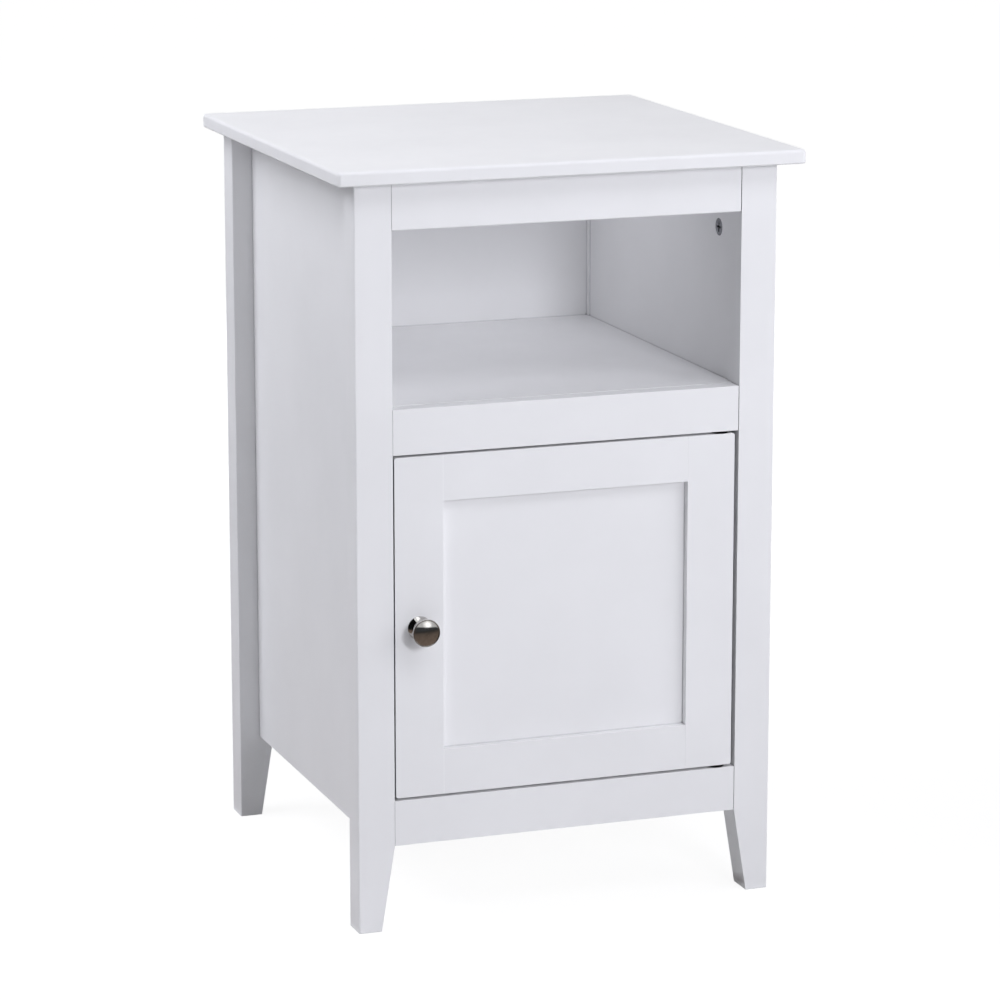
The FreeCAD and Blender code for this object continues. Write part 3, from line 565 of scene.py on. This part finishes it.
bush = {  # mm
    "flangeRadius": 7.4,
    "letIn": 0.6,
    "sleeveRadius": 4.0,
    "boreRadius": 2.55,
    "length": 11.4,
    "floor": 1.5,  # thickness that closes the bore's inner end
    "edge": 0.25,
    "count": 96,
}
low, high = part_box("pivot_bushes")
doorLow, doorHigh = (side.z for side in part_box("door_stile_hinge"))
axisX, axisY = (low.x + high.x) / 2, (low.y + high.y) / 2
sleeve, bore, flange = (bush[part] * mm for part in ("sleeveRadius", "boreRadius", "flangeRadius"))
for name, outer, seatZ in (("upper", high.z, doorHigh), ("lower", low.z, doorLow)):
    out = 1 if outer > seatZ else -1  # which way the flange faces
    inner, edge = seatZ - out * bush["length"] * mm, out * bush["edge"] * mm
    floor = inner + out * bush["floor"] * mm
    sunk = seatZ - out * bush["letIn"] * mm
    outline = [(0, inner), (sleeve, inner), (sleeve, sunk)]
    outline += [(flange, sunk), (flange, outer - edge), (flange - abs(edge), outer)]
    outline += [(bore, outer), (bore, floor), (0, floor)]
    lathe = turnedMesh(name + "Bush", outline, Vector(), bush["count"])
    for vertex in lathe.vertices:  # the lathe turns about Y; stand the bush up on the pivot's axis
        across, along, up = vertex.co
        vertex.co = Vector((axisX + across, axisY - up, along))
    newPiece(name + "_pivot_bush", lathe, "black_nylon", "door", "pivot_bushes")
print("pivot bushes turned")

strike = {  # mm
    "corner": 2.5,
    "cornerSteps": 6,
    "arris": 0.25,
    "sink": 1.1,  # depth of the countersink
    "toolOut": 1,  # how far the countersink's tool stands out of the leaf
    "toolIn": 3,
    "headRadius": 3.1,
    "headSunk": 0.05,  # depth of the screw's face under the leaf's
    "faceInset": 0.2,  # from the head's radius to the edge of the flat face
    "rimInset": 0.05,
    "rimDepth": 0.15,
    "shankLength": 6,
    "count": 48,
}
low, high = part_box("strike_plate")
back = high.y
middle = Vector(((low.x + high.x) / 2, back, (low.z + high.z) / 2))
inset = strike["corner"] * mm
leafOutline = []
corners = ((high.x - inset, high.z - inset, 0), (low.x + inset, high.z - inset, 90))
corners += ((low.x + inset, low.z + inset, 180), (high.x - inset, low.z + inset, 270))
for x, z, start in corners:
    leafOutline += arc((x, z), inset, start, start + 90, strike["cornerSteps"])
leafBlank = prism("strikeBlank", leafOutline, seat, back)
sink, head = strike["sink"] * mm, strike["headRadius"] * mm
toolOut, toolIn = strike["toolOut"] * mm, strike["toolIn"] * mm
countersink = [(0, toolOut), (head + toolOut, toolOut), (head - sink, -sink)]
countersink += [(head - sink, -toolIn), (0, -toolIn)]
countersinkTool = turnedMesh("countersink", countersink, middle, strike["count"])
leafMesh = carved("strikeLeaf", leafBlank, countersinkTool)
leaf = newPiece("strike_leaf", leafMesh, "pole_steel", "door", "strike_plate")
worn = leaf.modifiers.new("arris", "BEVEL")
worn.width = strike["arris"] * mm
worn.segments = 2
worn.limit_method = "ANGLE"
worn.angle_limit = math.radians(50)
level, shank = -strike["headSunk"] * mm, -strike["shankLength"] * mm
flush = [(0, level), (head - strike["faceInset"] * mm, level)]
flush += [(head - strike["rimInset"] * mm, -strike["rimDepth"] * mm)]
flush += [(head - sink, -sink), (head - sink, shank), (0, shank)]
strikeScrewBlank = turnedMesh("strikeScrewBlank", flush, middle, strike["count"])
strikeScrew = withCrossDrive("strikeScrew", strikeScrewBlank, middle, back)
newPiece("strike_screw", strikeScrew, "steel_screw", "door", "strike_plate")
print("door fittings made")

floorLook = {
    "halfSide": 20,  # m
    "bounce": "#CECECE",  # what the floor gives back to the table
    "matt": "#6E6E6E",  # the share of its seen look that holds the shadow
    "whiteNear": 0.90,  # the even share of its seen look, under the table and far from it
    "whiteFar": 1.0,
    "near": 0.5,  # m from the table's middle
    "far": 2.0,
}
# painted reflection: a glowing sheet seen only in reflections, brown near the table and darker further
# out
reflectionSheetLook = {
    "dark": "#393735",
    "brown": "#7E6E63",
    "inner": 0.22,  # m from the table's middle
    "outer": 9.0,
    "faded": 1.9,  # where the brown has gone dark
    "height": 0.003,  # m above the floor
    "count": 96,
}
lampColour = (0.94, 0.946, 1.0)  # daylight tubes
lamps = {  # watts, place, aimed at, width and height in metres
    "keySoftbox": (27.0, (0.3, -2.7, 1.16), (0, 0, 0.4), (0.45, 0.6)),
    "rightSoftbox": (32.5, (2.3, -1.7, 1.4), (0, 0, 0.4), (2.2, 2.2)),
    "rearSoftbox": (19.5, (-2.3, 1.5, 1.5), (0, 0, 0.4), (1.8, 2.0)),
    "leftSoftbox": (33.5, (-1.6, 0.2, 2.0), (0, 0, 0.5), (1.4, 1.4)),
    "overheadSoftbox": (17.0, (0.5, -1.6, 2.4), (0, 0, 0.4), (1.6, 1.0)),
    "backSoftbox": (26.0, (0.5, 2.8, 0.72), (0, 0, 0.35), (1.6, 0.9)),
    "sideSoftbox": (15.0, (2.8, 0.75, 0.72), (0, 0, 0.35), (1.6, 0.9)),
}
bayFill = {"power": 0.118, "place": (0, 0.06, 0.635), "size": (0.29, 0.22)}  # lifts the open bay a little


def seenRays(tree):
    # 1 where the camera, a mirror or glass looks, so that they all see the white background
    path = addNode(tree, "LightPath")
    share = path.outputs["Is Camera Ray"]
    for name in ("Is Glossy Ray", "Is Transmission Ray"):
        either = {0: share, 1: path.outputs[name]}
        share = addNode(tree, "Math", {"operation": "MAXIMUM"}, either).outputs[0]
    return share


def bareTree(name):
    material = bpy.data.materials.new(name)
    material.use_nodes = True
    material.node_tree.nodes.clear()
    return material, material.node_tree


def stageObject(name, mesh, material):
    item = bpy.data.objects.new(name, mesh)
    bpy.context.scene.collection.objects.link(item)
    mesh.materials.append(material)
    return item


def onlyReflected(item):
    item.visible_camera = False
    item.visible_diffuse = False
    item.visible_transmission = False
    item.visible_shadow = False


def buildFloor():
    look = floorLook
    shape = bmesh.new()
    bmesh.ops.create_grid(shape, x_segments=1, y_segments=1, size=look["halfSide"])
    material, tree = bareTree("paleFloor")
    seen = seenRays(tree)
    tones = {"data_type": "RGBA", 6: linear(look["bounce"]), 7: linear(look["matt"])}
    tone = addNode(tree, "Mix", tones, {0: seen}).outputs[2]
    matt = addNode(tree, "BsdfDiffuse", links={"Color": tone})
    place = addNode(tree, "TexCoord").outputs["Object"]
    away = addNode(tree, "VectorMath", {"operation": "LENGTH"}, {0: place}).outputs["Value"]
    reach = {"From Min": look["near"], "From Max": look["far"],
             "To Min": look["whiteNear"], "To Max": look["whiteFar"]}
    even = addNode(tree, "MapRange", reach, {"Value": away})
    share = addNode(tree, "Math", {"operation": "MULTIPLY"}, {0: seen, 1: even})
    white = addNode(tree, "Emission", links={"Strength": share})
    both = addNode(tree, "AddShader", links={0: matt, 1: white})
    addNode(tree, "OutputMaterial", links={"Surface": both})
    stageObject("floor", meshFrom("floor", shape), material)


def buildReflectionSheet():
    # A dark glowing sheet further out that only the knob and the lacquer's sheen see: it paints
    # dark reflections on the polished metal beside the white.
    look = reflectionSheetLook
    shape = bmesh.new()
    count = look["count"]
    turns = [2 * math.pi * at / count for at in range(count)]
    rings = []
    for radius in (look["inner"], look["outer"]):
        ring = [(radius * math.cos(turn), radius * math.sin(turn), look["height"]) for turn in turns]
        rings.append([shape.verts.new(point) for point in ring])
    for at in range(count):
        following = (at + 1) % count
        shape.faces.new((rings[0][at], rings[0][following], rings[1][following], rings[1][at]))
    material, tree = bareTree("darkReflectionSheet")
    place = addNode(tree, "TexCoord").outputs["Object"]
    away = addNode(tree, "VectorMath", {"operation": "LENGTH"}, {0: place}).outputs["Value"]
    reach = {"From Min": look["inner"], "From Max": look["faded"]}
    fade = addNode(tree, "MapRange", reach, {"Value": away})
    tones = {"data_type": "RGBA", 6: linear(look["brown"]), 7: linear(look["dark"])}
    tone = addNode(tree, "Mix", tones, {0: fade}).outputs[2]
    glow = addNode(tree, "Emission", links={"Color": tone})
    addNode(tree, "OutputMaterial", links={"Surface": glow})
    onlyReflected(stageObject("reflectionSheet", meshFrom("reflectionSheet", shape), material))


reflectionCards = {  # glowing cards seen only in reflections, which paint what the polished metal and the sheen show beside the white: tone, strength and corners in metres
    "blackFlag": ("#0C0C0D", 1, ((-1.1, -2.4, 0), (-1.1, 1.4, 0), (-1.1, 1.4, 2.4), (-1.1, -2.4, 2.4))),
    "frontValance": ("#3C3D3F", 1,
                     ((-2.6, -2.95, 0), (3.6, -2.95, 0), (3.6, -2.95, 0.30), (-2.6, -2.95, 0.85))),
    "frontPelmet": ("#5A5B5D", 1,
                    ((-2.6, -2.9, 1.55), (3.6, -2.9, 1.55), (3.6, -2.9, 3), (-2.6, -2.9, 3))),
    "darkCanopy": ("#4E4E50", 1, ((-0.45, -3, 3), (1.6, -3, 3), (1.6, -1.3, 3), (-0.45, -1.3, 3))),
    "whiteCanopy": ("#FFFFFF", 1.7, ((-0.45, -1.3, 3), (1.6, -1.3, 3), (1.6, 1, 3), (-0.45, 1, 3))),
    "greyCanopy": ("#7C7A7A", 1, ((1.6, -3, 3), (4, -3, 3), (4, 1, 3), (1.6, 1, 3))),
}
softGlow = {  # a round patch of painted light on the white in front: a glowing card seen only in reflections, a painted highlight on the knob
    "corners": ((-2.6, -3, 0.2), (3.6, -3, 0.2), (3.6, -3, 1.7), (-2.6, -3, 1.7)),
    "middle": (0.95, -3, 0.98),
    "reach": 1.1,
    "strength": (2.3, 0.64),  # in the middle, and beyond the reach
}


def buildCard(name, corners, glow):
    shape = bmesh.new()
    shape.faces.new([shape.verts.new(corner) for corner in corners])
    material, tree = bareTree(name)
    addNode(tree, "OutputMaterial", links={"Surface": glow(tree)})
    onlyReflected(stageObject(name, meshFrom(name, shape), material))


def evenGlow(tone, strength):
    return lambda tree: addNode(tree, "Emission", {"Color": linear(tone), "Strength": strength})


def roundGlow(look):
    def build(tree):
        place = addNode(tree, "TexCoord").outputs["Object"]
        apart = {"operation": "DISTANCE", 1: look["middle"]}
        away = addNode(tree, "VectorMath", apart, {0: place}).outputs["Value"]
        most, least = look["strength"]
        fall = {"interpolation_type": "SMOOTHSTEP", "From Max": look["reach"],
                "To Min": most, "To Max": least}
        strength = addNode(tree, "MapRange", fall, {"Value": away})
        return addNode(tree, "Emission", {"Color": linear("#FFFFFF")}, {"Strength": strength})
    return build


def buildSky():
    world = bpy.data.worlds.new("studio")
    bpy.context.scene.world = world
    world.use_nodes = True
    tree = world.node_tree
    tree.nodes.clear()
    white = addNode(tree, "Background", {"Color": linear("#FFFFFF")}, {"Strength": seenRays(tree)})
    addNode(tree, "OutputWorld", links={"Surface": white})


def addLamp(name, power, place, target, size):
    data = bpy.data.lights.new(name, "AREA")
    data.shape = "RECTANGLE"
    data.size, data.size_y = size
    data.energy = power
    data.color = lampColour
    lamp = bpy.data.objects.new(name, data)
    bpy.context.scene.collection.objects.link(lamp)
    lamp.location = place
    lamp.rotation_euler = (Vector(target) - Vector(place)).to_track_quat("-Z", "Y").to_euler()
    lamp.visible_camera = False
    lamp.visible_glossy = False  # it leaves no patch on the polished metal


buildFloor()
buildReflectionSheet()
for name, (tone, strength, corners) in reflectionCards.items():
    buildCard(name, corners, evenGlow(tone, strength))
buildCard("softGlow", softGlow["corners"], roundGlow(softGlow))
buildSky()
for name, setting in lamps.items():
    addLamp(name, *setting)
x, y, z = bayFill["place"]
addLamp("bayFill", bayFill["power"], (x, y, z), (x, y, 0), bayFill["size"])

cameraSet = {
    "place": (-1.1783, -3.2862, 1.1128),
    "yaw": 19.79,  # degrees to the right of straight at the back
    "pitch": 12.75,  # degrees below the horizon
    "lens": 146.05,
    "sensor": 36,  # mm across
}
cameraData = bpy.data.cameras.new("camera")
cameraData.lens = cameraSet["lens"]
cameraData.sensor_width = cameraSet["sensor"]
camera = bpy.data.objects.new("camera", cameraData)
bpy.context.scene.collection.objects.link(camera)
camera.location = cameraSet["place"]
camera.rotation_euler = (math.radians(90 - cameraSet["pitch"]), 0, -math.radians(cameraSet["yaw"]))
bpy.context.scene.camera = camera
bpy.context.scene.view_settings.view_transform = "Standard"
print("studio ready")

bpy.context.view_layer.update()
